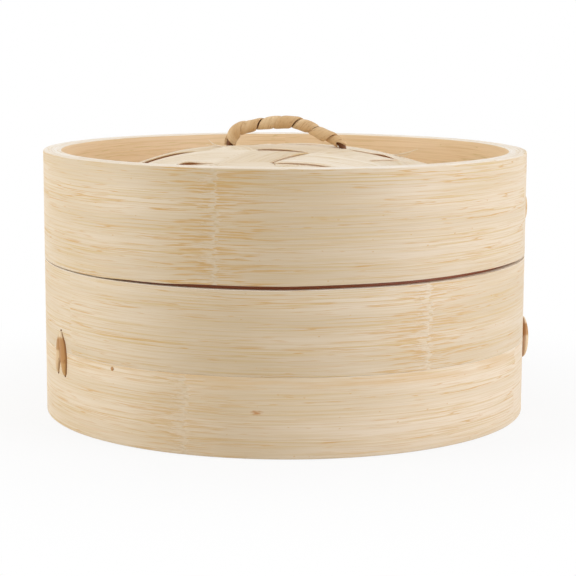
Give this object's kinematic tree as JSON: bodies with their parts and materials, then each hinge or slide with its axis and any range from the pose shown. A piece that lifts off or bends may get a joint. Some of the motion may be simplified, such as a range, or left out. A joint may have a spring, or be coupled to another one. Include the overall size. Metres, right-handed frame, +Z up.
{
  "type": "bamboo steamer",
  "caption": "Round bamboo steamer: a banded basket with a slatted floor, and a woven domed lid with a wound rattan arch handle, which lifts off.",
  "frame": {"origin": "centre of the basket's bottom edge, on the surface that it stands on", "axes": "+Z up through the handle; the pictured front is -Y, with +X to its right"},
  "size_m": [0.203, 0.2, 0.1217],
  "materials": {
    "bamboo_band": "planed pale bamboo with fine level grain",
    "inner_bamboo": "plain split bamboo, tan",
    "floor_bamboo": "split bamboo slats, unfinished",
    "lining": "thin dried bamboo sheath",
    "weave_strip": "shaved bamboo strip, cream, matt",
    "rattan": "rattan cane peel, tan, low sheen",
    "pin": "darkened bamboo end grain"
  },
  "bodies": {
    "basket": {"basket_lower_band": "bamboo_band", "basket_upper_band": "bamboo_band", "basket_inner_hoop": "inner_bamboo", "floor_support_ring": "floor_bamboo", "floor_clamp_ring": "floor_bamboo", "floor_crossbar_1": "floor_bamboo", "floor_crossbar_2": "floor_bamboo", "floor_slat_01": "floor_bamboo", "floor_slat_02": "floor_bamboo", "floor_slat_03": "floor_bamboo", "floor_slat_04": "floor_bamboo", "floor_slat_05": "floor_bamboo", "floor_slat_06": "floor_bamboo", "floor_slat_07": "floor_bamboo", "floor_slat_08": "floor_bamboo", "floor_slat_09": "floor_bamboo", "basket_stitch_left": "rattan", "basket_stitch_right": "rattan", "basket_pin_front": "pin", "basket_pin_back": "pin"},
    "lid": {"lid_outer_band": "bamboo_band", "lid_clamp_ring": "inner_bamboo", "lid_seat_ring": "inner_bamboo", "lid_lining": "lining", "weave_strip_a1": "weave_strip", "weave_strip_a2": "weave_strip", "weave_strip_a3": "weave_strip", "weave_strip_a4": "weave_strip", "weave_strip_a5": "weave_strip", "weave_strip_a6": "weave_strip", "weave_strip_a7": "weave_strip", "weave_strip_a8": "weave_strip", "weave_strip_a9": "weave_strip", "weave_strip_b1": "weave_strip", "weave_strip_b2": "weave_strip", "weave_strip_b3": "weave_strip", "weave_strip_b4": "weave_strip", "weave_strip_b5": "weave_strip", "weave_strip_b6": "weave_strip", "weave_strip_b7": "weave_strip", "weave_strip_b8": "weave_strip", "weave_strip_b9": "weave_strip", "weave_strip_c1": "weave_strip", "weave_strip_c2": "weave_strip", "weave_strip_c3": "weave_strip", "weave_strip_c4": "weave_strip", "weave_strip_c5": "weave_strip", "weave_strip_c6": "weave_strip", "weave_strip_c7": "weave_strip", "weave_strip_c8": "weave_strip", "weave_strip_c9": "weave_strip", "handle_core": "rattan", "handle_wrap": "rattan", "lid_stitch_right": "rattan", "lid_stitch_back": "rattan"}
  },
  "joints": [
    {"name": "lid_lift", "type": "slide", "parent": "basket", "child": "lid", "axis": [0, 0, 1], "range_m": [0, 0.15]}
  ]
}
